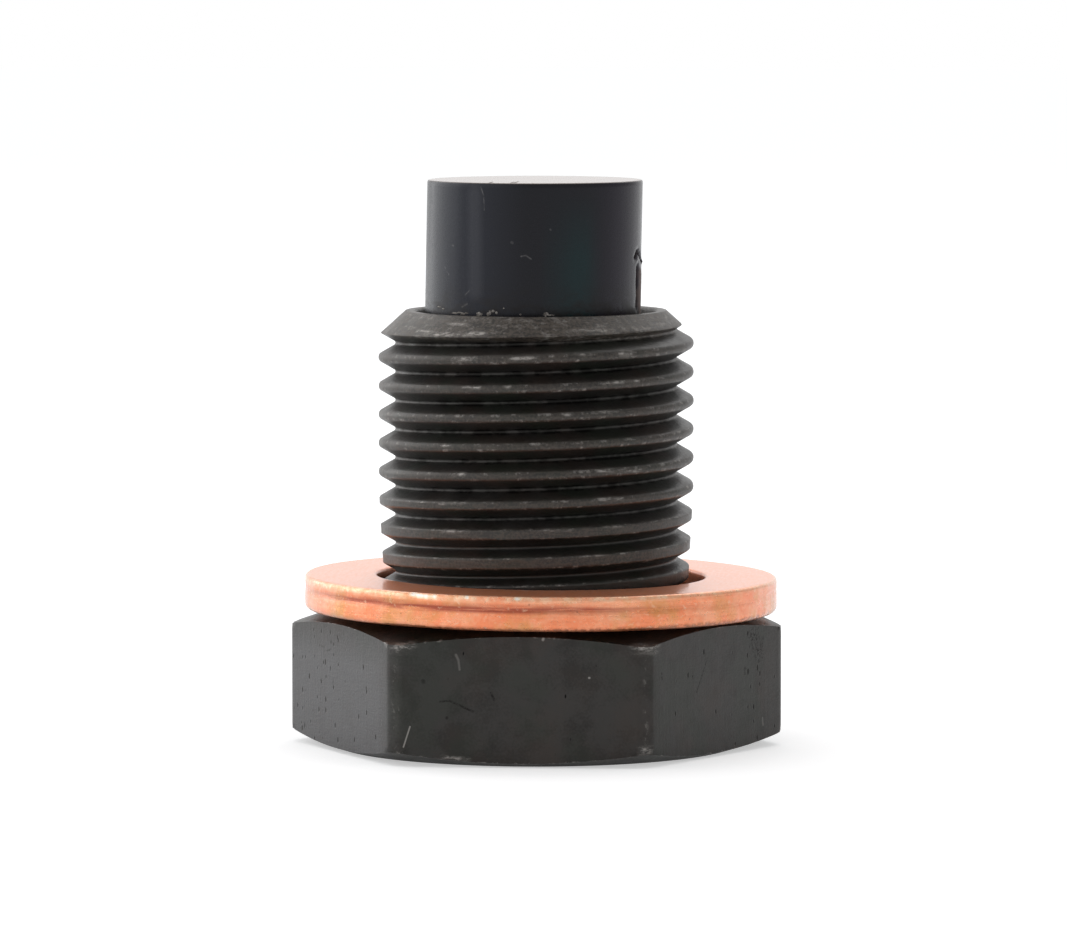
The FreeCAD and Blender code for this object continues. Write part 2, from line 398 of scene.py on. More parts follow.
def spin(bm, steps, climb=0.0):
    """Spins all of the outline once round the axis, climbing by the given height."""
    bmesh.ops.spin(
        bm, geom=bm.verts[:] + bm.edges[:], cent=(0, 0, 0), axis=(0, 0, 1), dvec=(0, 0, climb / steps),
        angle=math.tau, steps=steps, use_merge=climb == 0)
    merge_near(bm, 0.0005)


def stack(bm, copies, rise):
    """Repeats all of a mesh upwards and merges the copies where they meet."""
    first = everything(bm)
    for step in range(1, copies):
        made = bmesh.ops.duplicate(bm, geom=first)["geom"]
        corners = [item for item in made if isinstance(item, bmesh.types.BMVert)]
        bmesh.ops.translate(bm, verts=corners, vec=(0, 0, step * rise))
    merge_near(bm, 0.0005)


def radius_of(vert):
    """Distance from the plug's axis."""
    return math.hypot(vert.co.x, vert.co.y)


def finish_piece(bm, name, materials, sharp_angle=40):
    """Scales a mesh to metres and makes it a piece that rides on the plug."""
    bmesh.ops.recalc_face_normals(bm, faces=bm.faces)
    bmesh.ops.scale(bm, vec=(MM, MM, MM), verts=bm.verts)
    for face in bm.faces:
        face.smooth = True
    mesh = bpy.data.meshes.new(name)
    bm.to_mesh(mesh)
    bm.free()
    mesh.set_sharp_from_angle(angle=math.radians(sharp_angle))
    piece = bpy.data.objects.new(name, mesh)
    for material in materials:
        mesh.materials.append(material)
    bpy.context.scene.collection.objects.link(piece)
    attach(piece, "root")
    triangles = sum(len(face.vertices) - 2 for face in mesh.polygons)
    print(f"{name}: {triangles} triangles")
    return piece


# %% [markdown]
# ## Black oxide
#
# The steel was blackened in a hot salt bath. The layer is thin, dull and nearly black, with brown and grey
# clouds. It wears off first on crests and corners, where bright steel shows, and small pits of the bar
# stay darker. One graph makes all of it from the place on the object and from four numbers that the mesh
# carries: how sharp an edge is, how worn and how lit a crest is, how deep in the thread a point lies, and how
# hard it was knocked. A pit swallows the light, so it is made a black metal: a dark colour alone would
# still shine. The crests also carry a painted highlight that fades onto the flank facing up, and painted
# shade next to the washer. The thread's hollows get a little painted shade, and the two flats at the left
# are painted lighter and greyer, as painted light from the left.

# %% Marks on the steel
LIGHT_SCRATCHES = (
    ((-4.67, -9.45, 1.74), (-4.95, -9.45, 0.87), 0.045),
    ((2.96, -9.45, 3.89), (2.98, -9.45, 3.89), 0.06),
    ((1.00, -9.45, 5.50), (1.02, -9.45, 5.55), 0.08),
    ((5.76, -3.77, 14.08), (5.69, -3.89, 13.78), 0.04),
    ((-5.60, -4.01, 7.75), (-4.78, -4.97, 7.80), 0.06),
    ((-6.07, -3.27, 7.54), (-5.50, -4.14, 7.50), 0.11),
)
FAINT_SCRATCHES = (
    ((-5.31, -9.45, 3.02), (-5.17, -9.45, 2.45), 0.07),
    ((4.10, -5.55, 17.40), (4.35, -5.33, 17.38), 0.2),
    ((6.50, -2.20, 16.90), (6.62, -1.90, 16.50), 0.15),
    ((-2.70, -9.45, 4.82), (-2.60, -9.45, 4.60), 0.08),
    ((-2.60, -9.45, 4.60), (-2.55, -9.45, 4.20), 0.07),
    ((9.99, -1.59, 1.34), (10.02, -1.55, 1.03), 0.07),
)
DARK_SCRATCHES = (
    ((-3.39, -9.45, 2.82), (-2.96, -9.45, 2.86), 0.06),
    ((-2.96, -9.45, 2.86), (-1.98, -9.45, 2.41), 0.08),
    ((-1.21, -9.45, 3.21), (-1.08, -9.45, 2.91), 0.08),
    ((-4.11, -9.45, 3.70), (-4.09, -9.45, 3.66), 0.12),
    ((-3.10, -9.45, 2.13), (-3.09, -9.45, 2.13), 0.10),
    ((-9.15, -3.05, 4.51), (-9.04, -3.24, 4.49), 0.06),
    ((-8.83, -3.61, 4.35), (-8.61, -3.98, 4.44), 0.06),
    ((-8.50, -4.19, 3.18), (-8.51, -4.16, 2.95), 0.08),
    ((7.79, -5.42, 4.35), (7.62, -5.70, 3.79), 0.05),
    ((7.62, -5.70, 3.79), (7.36, -6.15, 2.96), 0.06),
    ((5.99, -8.52, 3.98), (6.00, -8.50, 3.76), 0.10),
    ((10.01, -1.57, 4.88), (9.97, -1.64, 4.40), 0.10),
    ((9.64, -2.20, 4.81), (9.72, -2.06, 4.58), 0.10),
    ((9.28, -2.82, 3.65), (9.28, -2.82, 3.39), 0.08),
    ((6.28, -2.72, 18.10), (6.45, -2.45, 17.98), 0.12),
)
SCAB = ((9.62, -2.20, 4.95), (9.86, -1.80, 4.15), 0.55)

# %% Black oxide material
OXIDE = (0.0075, 0.0064, 0.0056)
OXIDE_GREY = (0.0165, 0.0150, 0.0138)
OXIDE_BROWN = (0.0230, 0.0150, 0.0110)
# Black for pits and dark marks, and for the painted shade in the thread's hollows.
PIT_AND_SHADE_BLACK = (0.0015, 0.0013, 0.0012)
OXIDE_GREEN = (0.0095, 0.0125, 0.0085)
LEFT_FLATS_PAINTED_LIGHT = (0.070, 0.070, 0.075)
WORN_OXIDE_AND_HIGHLIGHT = (0.068, 0.055, 0.044)
BARE_STEEL = (0.52, 0.49, 0.46)
LEAD_FOOT = 17.9


def steel_pits(tree, place):
    """Rolling pits of the bar, drawn out along the plug's axis, and more of them away from its middle."""
    way = add(tree, "SeparateXYZ", {0: place}).outputs
    share = spread(tree, maths(tree, "ABSOLUTE", way["X"]), 5.2, 9.5, 0.04, 0.6)
    on_head = spread(tree, way["Z"], 5.6, 5.3)
    crowded = spread(tree, cloud(tree, place, 0.5, 2), 0.4, 0.6, 0.35, 1)
    cells = add(tree, "TexVoronoi", {"Vector": millimetres(tree, (4.6, 4.6, 2.0)), "Scale": 1.0}).outputs
    chance = add(tree, "SeparateColor", {0: cells["Color"]}).outputs
    picked = maths(tree, "LESS_THAN", chance[0], times(tree, share, on_head, crowded))
    size = spread(tree, chance[1], 0, 1, 0.1, 0.34)
    return times(tree, spread(tree, maths(tree, "SUBTRACT", cells["Distance"], size), 0, -0.12), picked)


def bare_steel(tree, place, lead):
    """How far the black layer is gone: at chipped edges, knocks, scratches and specks of the lead."""
    chipped = spread(tree, cloud(tree, place, 2.3, 5, 0.7), 0.54, 0.68, 0, 0.7)
    chips = times(tree, attribute(tree, "edge"), chipped)
    broken = spread(tree, drawn_out(tree, (2.4, 2.4, 7), 4, 0.7), 0.46, 0.6, 0.12, 1)
    knocks = times(tree, attribute(tree, "knock"), broken, 0.85)
    light = times(tree, strokes(tree, place, LIGHT_SCRATCHES), 0.5)
    faint = times(tree, strokes(tree, place, FAINT_SCRATCHES), 0.16)
    flecks = spread(tree, drawn_out(tree, (2.4, 2.4, 4), 5, 0.75), 0.52, 0.72, 0, 0.26)
    return most(tree, chips, knocks, light, faint, times(tree, flecks, lead))


def black_oxide():
    """Blackened steel with cloudy tone, pits, grain and worn edges."""
    material, tree, surface = new_material("black_oxide")
    place = millimetres(tree)
    way = add(tree, "SeparateXYZ", {0: place}).outputs
    crest = attribute(tree, "crest")
    hollow = attribute(tree, "hollow")
    patches = cloud(tree, place, 0.8, 4)
    fine = cloud(tree, place, 9, 2)
    tone = plus(tree, times(tree, patches, 0.7), times(tree, fine, 0.3))
    turned = drawn_out(tree, (1.6, 1.6, 11), 4, 0.65)

    rolled_pits = steel_pits(tree, place)
    dark_marks = times(tree, strokes(tree, place, DARK_SCRATCHES), spread(tree, fine, 0.3, 0.6, 0.1, 0.7))
    scab = times(tree, stroke(tree, place, *SCAB), spread(tree, fine, 0.48, 0.6, 0, 0.8))
    grit = spread(tree, drawn_out(tree, (1.3, 1.3, 2), 4, 0.7), 0.44, 0.56, 0, 0.7)
    grit = times(tree, grit, spread(tree, hollow, 0.78, 0.95))
    pits = most(tree, rolled_pits, dark_marks, scab, grit)

    lead = spread(tree, way["Z"], LEAD_FOOT, LEAD_FOOT + 0.15, 0, 1.5)
    exposed = bare_steel(tree, place, lead)
    mottled = plus(tree, turned, times(tree, maths(tree, "SUBTRACT", fine, 0.5), 1.2))
    # Crests and the lead get worn oxide; on the crests this also carries a painted highlight and painted
    # shade.
    rubbed_and_lit = times(tree, most(tree, crest, lead), spread(tree, mottled, 0.34, 0.66, 0.1, 1))
    brown = spread(tree, cloud(tree, millimetres(tree, offset=(7, 3, 5)), 0.45, 4), 0.45, 0.68, 0, 0.7)
    green = spread(tree, cloud(tree, millimetres(tree, offset=(1, 8, 3)), 0.5, 3), 0.46, 0.6, 0, 0.8)
    # Painted light: the two flats at the left are made lighter and greyer, standing in for light from the
    # left.
    left_flats = times(tree, spread(tree, way["X"], -5.4, -6.2), spread(tree, way["Z"], HEAD_HEIGHT - 0.4, 4))
    painted_left_light = times(tree, left_flats, spread(tree, tone, 0.35, 0.65, 0.75, 0.95))
    colour = layered(
        tree, blend(tree, spread(tree, tone, 0.35, 0.65), OXIDE, OXIDE_GREY),
        (brown, OXIDE_BROWN),
        (green, OXIDE_GREEN),
        (painted_left_light, LEFT_FLATS_PAINTED_LIGHT),
        (times(tree, rubbed_and_lit, 0.75), WORN_OXIDE_AND_HIGHLIGHT),
        # Painted shade: the thread's hollows are darkened a little, more the deeper they lie.
        (times(tree, hollow, 0.1), PIT_AND_SHADE_BLACK),
        (pits, PIT_AND_SHADE_BLACK),
        (exposed, BARE_STEEL))

    dull = times(tree, spread(tree, tone, 0.54, 0.4, 0, 0.26), spread(tree, way["Z"], 5.9, 5.7))
    metal = most(tree, exposed, times(tree, pits, 0.85), dull)
    rough = spread(tree, plus(tree, fine, patches), 0.7, 1.3, 0.33, 0.5)
    bumps = plus(tree, fine, drawn_out(tree, (5, 5, 0.5)), times(tree, turned, 1.2))
    bump = bumpy(tree, maths(tree, "SUBTRACT", bumps, times(tree, rolled_pits, 2.5)), 0.4, 0.02)
    surface.inputs["Specular IOR Level"].default_value = 0.55
    surface.inputs["Specular Tint"].default_value = (1, 0.97, 0.94, 1)
    wire(tree, surface, Base_Color=colour, Roughness=rough, Metallic=metal, Normal=bump)
    return material


oxide_finish = black_oxide()

# %% [markdown]
# ## The thread
#
# A thread is one tooth shape carried round the axis while it climbs by its pitch. Spin does just that: it
# turns the outline of one pitch in small steps and lifts it a little at each. The turns then meet and are
# merged. What the lathe took off first, the lead at the end and the lower crests and the relief next
# to the head, is a set of cones. Each is cut by leaning the mesh until the cone is a level plane, bisecting
# at that plane, and leaning it back, so the cut has a clean edge.

# %% Thread
STEPS_A_TURN = 256
THREAD_TURNS = 13
PROFILE = (
    (RELIEF_RADIUS, HEAD_HEIGHT + 0.645),
    (6.65, HEAD_HEIGHT + 0.963),
    (CREST_RADIUS, HEAD_HEIGHT + 5.4),
    (CREST_RADIUS, PLUG_HEIGHT - (CREST_RADIUS - END_RADIUS) * LEAD),
    (END_RADIUS, PLUG_HEIGHT),
)


def turned_radius(height):
    """Radius that the lathe left at a height, before the thread was cut."""
    if height <= PROFILE[0][1]:
        return RELIEF_RADIUS
    for (low_radius, low), (high_radius, high) in zip(PROFILE, PROFILE[1:]):
        if height <= high:
            return low_radius + (high_radius - low_radius) * (height - low) / (high - low)
    return END_RADIUS - (height - PLUG_HEIGHT) / LEAD


def cut_along_cone(bm, foot, top):
    """Cuts new edges where the mesh meets the cone through two places of the profile."""
    slope = (top[1] - foot[1]) / (top[0] - foot[0])
    for vert in bm.verts:
        vert.co.z -= slope * (radius_of(vert) - foot[0])
    bmesh.ops.bisect_plane(
        bm, geom=everything(bm), dist=0.0005, plane_co=(0, 0, foot[1]), plane_no=(0, 0, 1))
    for vert in bm.verts:
        vert.co.z += slope * (radius_of(vert) - foot[0])


def make_thread():
    """The threaded shank, open at the head and at the end of the lead."""
    bm = bmesh.new()
    half = PITCH / 2
    start = GROOVE_HEIGHT - PITCH * GROOVE_ANGLE / 360 - PITCH
    corners, edges = outline(bm, (
        (CREST_RADIUS, start - half),
        (CREST_RADIUS, start - half + CREST_HALF),
        (ROOT_RADIUS, start - ROOT_HALF),
        (ROOT_RADIUS, start + ROOT_HALF),
        (CREST_RADIUS, start + half - CREST_HALF),
        (CREST_RADIUS, start + half),
    ))
    round_corners(bm, [corners[1], corners[4]], 0.11, 3)
    round_corners(bm, [corners[2], corners[3]], 0.05, 2)
    divide(bm, 0.17)
    spin(bm, STEPS_A_TURN, PITCH)
    stack(bm, THREAD_TURNS, PITCH)
    print("thread as spun:", len(bm.faces), "faces")
    return bm


def turn_down(bm):
    """Takes the lead, the fading crests and the relief off the thread."""
    for height, side in ((HEAD_HEIGHT, -1), (PLUG_HEIGHT + PITCH, 1)):
        bmesh.ops.bisect_plane(
            bm, geom=everything(bm), dist=0.0005, plane_co=(0, 0, height), plane_no=(0, 0, side),
            clear_outer=True)
    for foot, top in ((PROFILE[0], PROFILE[1]), (PROFILE[1], PROFILE[2]), (PROFILE[3], PROFILE[4])):
        cut_along_cone(bm, foot, top)
    for height in (PROFILE[0][1], PROFILE[1][1]):
        bmesh.ops.bisect_plane(
            bm, geom=everything(bm), dist=0.0005, plane_co=(0, 0, height), plane_no=(0, 0, 1))
    for vert in bm.verts:
        limit = turned_radius(vert.co.z) / radius_of(vert)
        if limit < 1:
            vert.co.x *= limit
            vert.co.y *= limit
    bmesh.ops.bisect_plane(
        bm, geom=everything(bm), dist=0.0005, plane_co=(0, 0, PLUG_HEIGHT), plane_no=(0, 0, 1),
        clear_outer=True)
    merge_near(bm, 0.002)


def ruffle(bm, depth):
    """Gives the cut surfaces the small waves of a worn tool."""
    for vert in bm.verts:
        wave = noise.noise(vert.co * 0.9) + 0.6 * noise.noise(vert.co * 3.1)
        share = 1 - depth * (1 + wave) / radius_of(vert)
        vert.co.x *= share
        vert.co.y *= share


def is_keen(edge):
    """Tells a knife edge, which stands out of the metal, from the bottom of a groove."""
    return edge.is_manifold and edge.is_convex and edge.calc_face_angle(0) > math.radians(35)


def blunt(bm):
    """Blunts the knife edges that the cones left on the thread."""
    bmesh.ops.recalc_face_normals(bm, faces=bm.faces)
    for steps in range(2):
        keen = [vert for vert in bm.verts if not vert.is_boundary and any(map(is_keen, vert.link_edges))]
        bmesh.ops.smooth_vert(
            bm, verts=keen, factor=0.5, use_axis_x=True, use_axis_y=True, use_axis_z=True)


plug = make_thread()
turn_down(plug)
blunt(plug)
ruffle(plug, 0.012)
print("thread as turned:", len(plug.faces), "faces")

# %% [markdown]
# ## The end of the shank and its bore
#
# The open edge at the top of the lead becomes the ring-shaped end face and then the wall of the bore. An
# edge loop that is extruded and scaled towards the axis makes one ring at a time, and a fill closes the
# bore's floor.

# %% End face and bore
def open_loop(bm, height):
    """The edges of the opening at a height."""
    return [
        edge for edge in bm.edges
        if edge.is_boundary and all(abs(vert.co.z - height) < 0.01 for vert in edge.verts)
    ]


def next_ring(bm, edges, radius, height):
    """Extrudes a loop of edges to a new radius and height, and returns the new loop."""
    made = bmesh.ops.extrude_edge_only(bm, edges=edges)["geom"]
    for vert in (item for item in made if isinstance(item, bmesh.types.BMVert)):
        share = radius / radius_of(vert)
        vert.co = (vert.co.x * share, vert.co.y * share, height)
    return [item for item in made if isinstance(item, bmesh.types.BMEdge) and item.is_boundary]


loop = open_loop(plug, PLUG_HEIGHT)
for radius, height in (
    (END_RADIUS - 0.04, PLUG_HEIGHT + 0.0),
    (END_RADIUS - 0.2, PLUG_HEIGHT),
    (BORE_RADIUS + MOUTH_CHAMFER + 0.03, PLUG_HEIGHT),
    (BORE_RADIUS + 0.02, PLUG_HEIGHT - MOUTH_CHAMFER + 0.02),
    (BORE_RADIUS, PLUG_HEIGHT - MOUTH_CHAMFER - 0.03),
    (BORE_RADIUS, PLUG_HEIGHT - 0.5),
    (BORE_RADIUS, BORE_FLOOR),
    (0.5, BORE_FLOOR),
):
    loop = next_ring(plug, loop, radius, height)
bmesh.ops.edgeloop_fill(plug, edges=loop)
print("open loops left:", len(open_loop(plug, PLUG_HEIGHT)), "at the end of the shank")

# %% [markdown]
# ## The hexagon head
#
# The head was turned from hexagon bar, so its corners are cut by two cones and the flats end in curved lines.
# The same thing works here the other way round: the turned outline is spun first, then the mesh is bisected
# at each of the six flats, and what lies outside is pressed straight onto the flat. The curved
# lines come by themselves, and the flats keep a fine grid that dents can be pressed into.

# %% Head
HEAD_STEPS = 330


def make_head():
    """The turned head with its six flats, open where the shank stands on it."""
    bm = bmesh.new()
    outline(bm, (
        (0, 0),
        (FOOT_RADIUS, 0),
        (CORNER_RADIUS, (CORNER_RADIUS - FOOT_RADIUS) * HEAD_CHAMFER),
        (CORNER_RADIUS, HEAD_HEIGHT - (CORNER_RADIUS - BEARING_RADIUS) * HEAD_CHAMFER),
        (BEARING_RADIUS, HEAD_HEIGHT),
        (CREST_RADIUS, HEAD_HEIGHT),
    ))
    divide(bm, 0.24)
    spin(bm, HEAD_STEPS)
    for side in range(6):
        outward = Matrix.Rotation(side * SECTOR, 3, "Z") @ Vector((0, -1, 0))
        bmesh.ops.bisect_plane(
            bm, geom=everything(bm), dist=0.0005, plane_co=outward * FLAT_RADIUS, plane_no=outward)
        for vert in bm.verts:
            proud = vert.co.dot(outward) - FLAT_RADIUS
            if proud > 0:
                vert.co -= outward * proud
    merge_near(bm, 0.01)
    return bm


def corner_turn(vert):
    """Angle round the axis from the nearest corner of the head."""
    return (math.atan2(vert.co.y, vert.co.x) + SECTOR / 2) % SECTOR - SECTOR / 2


def soften_corners(bm):
    """Rounds the upright corners of the head, which handling has worn."""
    for steps in range(2):
        worn = []
        for vert in bm.verts:
            if abs(corner_turn(vert)) < math.radians(3.2) and radius_of(vert) > FLAT_RADIUS + 0.7:
                worn.append(vert)
        bmesh.ops.smooth_vert(
            bm, verts=worn, factor=0.5, use_axis_x=True, use_axis_y=True, use_axis_z=False)


head = make_head()
soften_corners(head)
print("head:", len(head.faces), "faces")

# %% Join head and shank
head_mesh = bpy.data.meshes.new("head")
head.to_mesh(head_mesh)
head.free()
plug.from_mesh(head_mesh)
bpy.data.meshes.remove(head_mesh)
bmesh.ops.bridge_loops(plug, edges=open_loop(plug, HEAD_HEIGHT))
print("open edges of the plug:", len([edge for edge in plug.edges if not edge.is_manifold]))


# %% Worn spots
WORN_SPOTS = (
    ((-5.56, -9.45, 5.25), (-4.80, -9.45, 5.30), 0.26),
    ((5.05, -9.45, 5.27), (5.73, -8.97, 5.22), 0.22),
    ((-3.26, -9.45, 0.42), (-2.19, -9.45, 0.34), 0.07),
    ((5.21, -9.45, 0.79), (5.55, -9.25, 0.75), 0.14),
    ((-4.01, -5.19, 18.22), (-3.19, -5.72, 18.23), 0.12),
    ((-2.92, -5.82, 18.26), (-1.81, -6.23, 18.29), 0.13),
    ((-4.77, -4.37, 18.30), (-3.92, -5.20, 18.26), 0.07),
    ((-3.33, -5.10, 18.65), (-2.51, -5.56, 18.63), 0.07),
    ((1.78, -6.08, 18.42), (3.36, -5.38, 18.41), 0.06),
    ((-3.11, -6.15, 17.21), (-2.22, -6.52, 17.25), 0.08),
    ((-0.60, -6.86, 17.28), (0.51, -6.87, 17.31), 0.06),
    ((2.15, -6.54, 17.47), (2.82, -6.29, 17.46), 0.06),
    ((4.02, -5.60, 17.48), (4.47, -5.24, 17.46), 0.1),
    ((-2.71, -6.34, 16.04), (-2.00, -6.59, 16.02), 0.06),
    ((3.40, -5.99, 16.20), (4.80, -4.95, 16.22), 0.06),
    ((-0.78, -6.85, 16.11), (-0.69, -6.86, 16.10), 0.08),
    ((1.74, -6.67, 14.87), (2.03, -6.58, 14.90), 0.07),
    ((2.91, -6.25, 14.97), (3.78, -5.76, 14.96), 0.06),
    ((-3.56, -5.90, 13.46), (-3.29, -6.05, 13.48), 0.07),
    ((-3.52, -5.92, 12.51), (-3.25, -6.08, 12.43), 0.07),
    ((-3.11, -6.15, 12.29), (-2.66, -6.35, 12.27), 0.09),
    ((3.07, -6.17, 12.46), (4.88, -4.86, 12.37), 0.07),
    ((-3.70, -5.81, 10.97), (-2.66, -6.35, 11.06), 0.06),
    ((2.99, -6.21, 11.21), (4.11, -5.53, 11.23), 0.07),
    ((-3.80, -5.75, 9.76), (-2.44, -6.44, 9.82), 0.07),
    ((-3.34, -6.03, 9.59), (-2.44, -6.44, 9.63), 0.05),
    ((0.64, -6.86, 9.92), (2.07, -6.57, 9.93), 0.06),
    ((3.32, -6.03, 10.04), (4.23, -5.44, 10.02), 0.06),
    ((-3.52, -5.92, 8.54), (-2.44, -6.44, 8.58), 0.08),
    ((-1.74, -6.67, 8.62), (-1.61, -6.70, 8.63), 0.08),
    ((1.57, -6.71, 8.78), (3.90, -5.68, 8.79), 0.05),
)


def distance_to(place, start, end):
    """Distance from a place to a straight line between two others."""
    reach = Vector(end) - Vector(start)
    offset = place - Vector(start)
    share = min(max(offset.dot(reach) / reach.length_squared, 0), 1)
    return (offset - reach * share).length


def hump(value, width):
    """A soft bell that is 1 at 0 and fades over the given width."""
    return math.exp(-(value / width) ** 2)


def knocked(place):
    """How much a place was knocked or worn bright."""
    total = 0
    for start, end, width in WORN_SPOTS:
        if abs(place.z - start[2]) < 0.5:
            total = max(total, hump(distance_to(place, start, end), width))
    return total


# %% Exposed edges
def mark_wear(bm):
    """Stores four numbers at each point: a sharp corner, a thread crest with its painted highlight and shade,
    a hollow and a knock.
    """
    bm.normal_update()
    edge_layer = bm.verts.layers.float.new("edge")
    crest_layer = bm.verts.layers.float.new("crest")
    hollow_layer = bm.verts.layers.float.new("hollow")
    knock_layer = bm.verts.layers.float.new("knock")
    for edge in bm.edges:
        if not edge.is_manifold or not edge.is_convex or edge.verts[0].co.z > HEAD_HEIGHT + 0.1:
            continue
        share = min(max(math.degrees(edge.calc_face_angle(0)) - 30, 0) / 25, 1)
        for vert in edge.verts:
            vert[edge_layer] = max(vert[edge_layer], share)
    for vert in bm.verts:
        height = vert.co.z
        vert[knock_layer] = knocked(vert.co)
        if height < HEAD_HEIGHT + 0.2:
            if abs(corner_turn(vert)) < math.radians(0.8) and radius_of(vert) > FLAT_RADIUS + 1:
                vert[edge_layer] = 0.3
            continue
        depth = turned_radius(height) - radius_of(vert)
        # Painted shade: crests next to the washer are brightened less. Painted highlight: the band spreads,
        # fading, onto the flank facing up.
        out_of_painted_shade = min(max((height - 7.3) / 1.1, 0.15), 1)
        facing_up = min(max((vert.normal.z + 0.3) / 0.7, 0), 1)
        fade = 0.1 + 0.26 * facing_up
        nearness = min(max(1 - (depth - 0.02) / fade, 0), 1)
        vert[crest_layer] = out_of_painted_shade * (1 - 0.35 * facing_up) * nearness ** 2
        vert[hollow_layer] = min(max(depth / (CREST_RADIUS - ROOT_RADIUS), 0), 1)
        if height < LEAD_FOOT and depth < 0.07 and abs(vert.normal.z) > 0.2:
            vert[edge_layer] = 0.6


bmesh.ops.recalc_face_normals(plug, faces=plug.faces)
mark_wear(plug)
plug_piece = finish_piece(plug, "plug", [oxide_finish])
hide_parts("plug_body")

# %% [markdown]
# ## Copper
#
# The washer was stamped from soft copper sheet and lies bright and unused. Copper is a metal, so nearly all
# of its colour comes from reflections: pale where the top is seen at a low angle, orange where the rim faces
# the camera. A film of oil lies on it, which a thin smooth coat over the rougher metal stands for.
# Handling has left cloudy stains, fine scuffs along the rim and a few dings. The glints on the rim, the
# bright line along its top edge and the shine on the dings are painted highlights.

# %% Copper material
COPPER = (1.0, 0.42, 0.225)
COPPER_DEEP = (0.98, 0.28, 0.115)
COPPER_PAINTED_GLINT = (1.0, 0.72, 0.48)
COPPER_NICK = (0.25, 0.07, 0.03)
COPPER_STAIN = (0.68, 0.30, 0.07)
SHEAR_RED = (0.36, 0.055, 0.02)
DING_PAINTED_HIGHLIGHT = (1.0, 0.93, 0.86)


def bright_copper():
    """Soft copper, polished on its faces, with clouds, fine grain, scuffs and painted highlights on its rim.
    """
    material, tree, surface = new_material("copper")
    place = millimetres(tree)
    height = add(tree, "SeparateXYZ", {0: place}).outputs["Z"]
    rim = attribute(tree, "rim")
    sheared = attribute(tree, "sheared")
    # worn is the dings' mask, where a painted highlight is laid.
    worn = attribute(tree, "ding_glint")
    fine = cloud(tree, place, 8, 3)
    mottle = cloud(tree, place, 0.6, 5, 0.65)
    stains = cloud(tree, millimetres(tree, offset=(4, 9, 2)), 0.55, 4, 0.6)
    speckle = drawn_out(tree, (3, 3, 4), 5, 0.7)
    scuffs = drawn_out(tree, (0.5, 0.5, 9))
    scratches = drawn_out(tree, (9, 1.1, 1), 4, 0.6)
    dots = specks(tree, place, 2.1, 0.12, 0.35)

    # Painted highlight along the top edge of the rim, broken up by speckle.
    painted_top_edge_highlight = times(tree, spread(tree, height, 7.08, 7.26), spread(tree, speckle, 0.4, 0.6, 0.1, 0.75))
    foot_edge = times(tree, spread(tree, height, 6.12, 5.98), spread(tree, speckle, 0.42, 0.56, 0, 0.7))
    tarnish = plus(tree, times(tree, mottle, 0.6), times(tree, speckle, 0.4))
    tarnish = mix(tree, rim, 0.35, spread(tree, tarnish, 0.42, 0.58, 0, 1.15))
    colour = layered(
        tree, blend(tree, tarnish, COPPER, COPPER_DEEP),
        (times(tree, rim, spread(tree, stains, 0.48, 0.66, 0, 0.75)), COPPER_STAIN),
        (times(tree, sheared, spread(tree, scuffs, 0.3, 0.5, 0.35, 0.95)), SHEAR_RED),
        (times(tree, dots, 0.5), COPPER_NICK),
        (times(tree, rim, foot_edge), COPPER_NICK),
        # Painted glints scattered on the rim, then the painted highlight along its top edge.
        (times(tree, rim, spread(tree, speckle, 0.57, 0.7, 0, 0.5)), COPPER_PAINTED_GLINT),
        (times(tree, rim, painted_top_edge_highlight), COPPER_PAINTED_GLINT),
        # Painted highlights on the dings: a warm halo and a white hot spot.
        (spread(tree, worn, 0.05, 0.4), COPPER_PAINTED_GLINT),
        (spread(tree, worn, 0.3, 0.95), DING_PAINTED_HIGHLIGHT))

    grainy = spread(tree, plus(tree, fine, scuffs), 0.7, 1.3, 0.24, 0.44)
    smooth = spread(tree, plus(tree, fine, scratches), 0.75, 1.25, 0.36, 0.5)
    rough = maths(tree, "SUBTRACT", mix(tree, rim, smooth, grainy), times(tree, worn, 0.25), clamp=True)
    side_relief = plus(tree, fine, scuffs, drawn_out(tree, (7, 7, 0.9)))
    bump = bumpy(tree, mix(tree, rim, times(tree, scratches, 0.25), side_relief), 0.5, 0.03)
    surface.inputs["Metallic"].default_value = 0.7
    surface.inputs["Coat Weight"].default_value = 0.62
    surface.inputs["Coat Roughness"].default_value = 0.1
    wire(tree, surface, Base_Color=colour, Roughness=rough, Normal=bump)
    return material


copper_finish = bright_copper()

# %% [markdown]
# ## The sealing washer
#
# The washer is an outline spun once. It was stamped, so its rim isn't a plain cylinder: a shallow line runs
# round it where the metal sheared, and the soft edges have taken knocks. Both are pressed into the
# spun mesh by moving its outer points inwards. The washer lies loose and a touch askew on the head, so the
# finished ring is tilted and shifted last.

# %% Washer
WASHER_INNER = 7.175
WASHER_OUTER = 10.34
WASHER_THICKNESS = 1.5
WASHER_TILT = math.radians(0.5)
WASHER_FOOT = (0.2003, 0, 5.9042)
SHEAR_HEIGHT = 0.93
SHEAR_DEPTH = 0.045
DINGS_WITH_GLINTS = (
    (-117.6, 1.42, 0.14), (-115.9, 1.39, 0.2), (-114.2, 1.38, 0.15), (-111.9, 1.385, 0.1),
    (-103.6, 1.41, 0.08), (-91.3, 1.41, 0.1),
)


